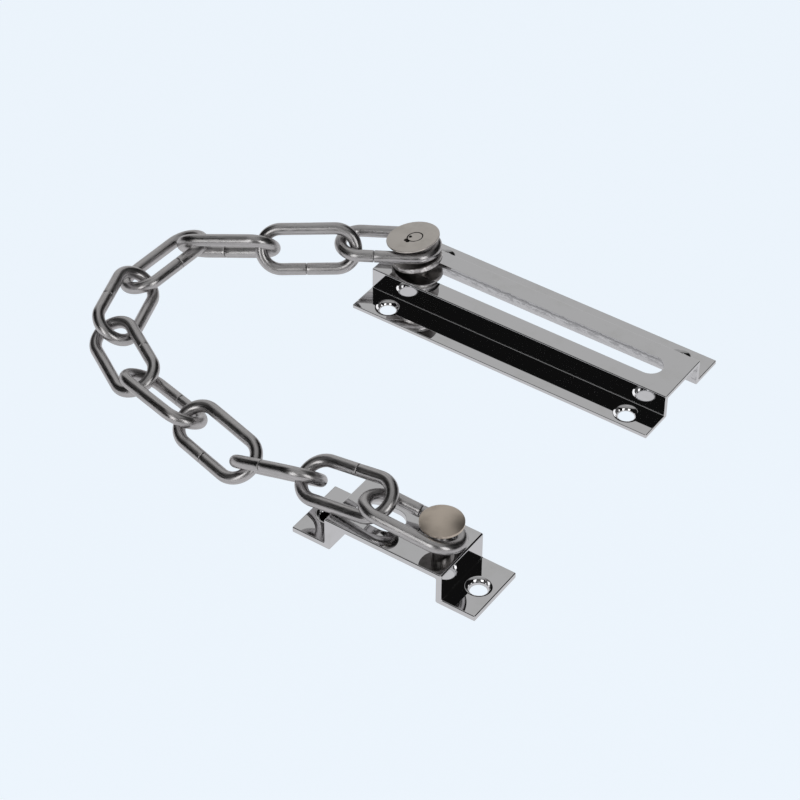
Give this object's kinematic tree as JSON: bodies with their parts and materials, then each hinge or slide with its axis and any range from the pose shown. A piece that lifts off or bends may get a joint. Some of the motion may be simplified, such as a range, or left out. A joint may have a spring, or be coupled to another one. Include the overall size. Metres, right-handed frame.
{
  "type": "door chain",
  "caption": "Chrome door chain: a slotted hat-section slide rail with a captive knob, a chain of oval wire links, and a raised frame bracket with a domed stud.",
  "frame": {"origin": "centre of the slide rail's four-hole screw pattern, on the mounting plane under its flanges", "axes": "+X along the rail's slot, from the knob's resting end to the free end; +Y away from the frame bracket; +Z out of the mounting plane, towards the knob"},
  "size_m": [0.1786, 0.1383, 0.0234],
  "materials": {
    "plate_chrome": "mirror-polished chrome plate",
    "chain_steel": "bright nickel-plated steel wire with drawing marks",
    "satin_nickel": "satin nickel, warm grey",
    "turned_steel": "turned and plated steel"
  },
  "bodies": {
    "rail": {"slide_rail": "plate_chrome"},
    "slider": {"knob_cap": "satin_nickel", "slider_spindle": "turned_steel", "slider_foot": "turned_steel"},
    "link_01": {"link_01": "chain_steel"},
    "link_02": {"link_02": "chain_steel"},
    "link_03": {"link_03": "chain_steel"},
    "link_04": {"link_04": "chain_steel"},
    "link_05": {"link_05": "chain_steel"},
    "link_06": {"link_06": "chain_steel"},
    "link_07": {"link_07": "chain_steel"},
    "link_08": {"link_08": "chain_steel"},
    "link_09": {"link_09": "chain_steel"},
    "link_10": {"link_10": "chain_steel"},
    "link_11": {"link_11": "chain_steel"},
    "bracket": {"frame_bracket": "plate_chrome", "bracket_stud": "satin_nickel"}
  },
  "joints": [
    {"name": "slider_travel", "type": "slide", "parent": "rail", "child": "slider", "axis": [1, 0, 0], "range_m": [0, 0.088]},
    {"name": "link_01_turn", "type": "hinge", "parent": "slider", "child": "link_01", "pos_m": [-0.044, 0, 0.0083], "axis": [-0.1907, -0.0314, 0.9811], "range_deg": [-90, 75]},
    {"name": "link_02_swing", "type": "hinge", "parent": "link_01", "child": "link_02", "pos_m": [-0.06686, -0.01132, 0.0153], "axis": [0.4425, -0.8968, 0.0063], "range_deg": [-60, 3]},
    {"name": "link_03_swing", "type": "hinge", "parent": "link_02", "child": "link_03", "pos_m": [-0.08777, -0.02534, 0.01537], "axis": [-0.1359, -0.5585, -0.8183], "range_deg": [-60, 8]},
    {"name": "link_04_swing", "type": "hinge", "parent": "link_03", "child": "link_04", "pos_m": [-0.10947, -0.03174, 0.00534], "axis": [-0.7422, -0.6191, 0.2568], "range_deg": [-45, 5]},
    {"name": "link_05_swing", "type": "hinge", "parent": "link_04", "child": "link_05", "pos_m": [-0.11016, -0.05618, 0.00716], "axis": [-0.4984, -0.8336, -0.2382], "range_deg": [-60, 6]},
    {"name": "link_06_swing", "type": "hinge", "parent": "link_05", "child": "link_06", "pos_m": [-0.10869, -0.08282, 0.00846], "axis": [-0.8286, 0.3229, 0.4572], "range_deg": [-55, 6]},
    {"name": "link_07_swing", "type": "hinge", "parent": "link_06", "child": "link_07", "pos_m": [-0.08235, -0.08998, 0.00708], "axis": [0.3725, -0.8819, -0.289], "range_deg": [-60, 9]},
    {"name": "link_08_swing", "type": "hinge", "parent": "link_07", "child": "link_08", "pos_m": [-0.05919, -0.10302, 0.00802], "axis": [-0.635, -0.6222, 0.4579], "range_deg": [-60, 15]},
    {"name": "link_09_swing", "type": "hinge", "parent": "link_08", "child": "link_09", "pos_m": [-0.03239, -0.10686, 0.00492], "axis": [-0.287, -0.8038, -0.5211], "range_deg": [-42, 60]},
    {"name": "link_10_swing", "type": "hinge", "parent": "link_09", "child": "link_10", "pos_m": [-0.00848, -0.10898, 0.01672], "axis": [0.5888, 0.6444, -0.4879], "range_deg": [-30, 36]},
    {"name": "link_11_swing", "type": "hinge", "parent": "link_10", "child": "link_11", "pos_m": [0.01524, -0.11227, 0.01584], "axis": [0.8751, 0.3613, 0.3219], "range_deg": [-54, 0]},
    {"name": "bracket_swing", "type": "hinge", "parent": "link_11", "child": "bracket", "pos_m": [0.0361, -0.1058, 0.015], "axis": [0, 0, 1], "range_deg": [-90, 90]}
  ]
}
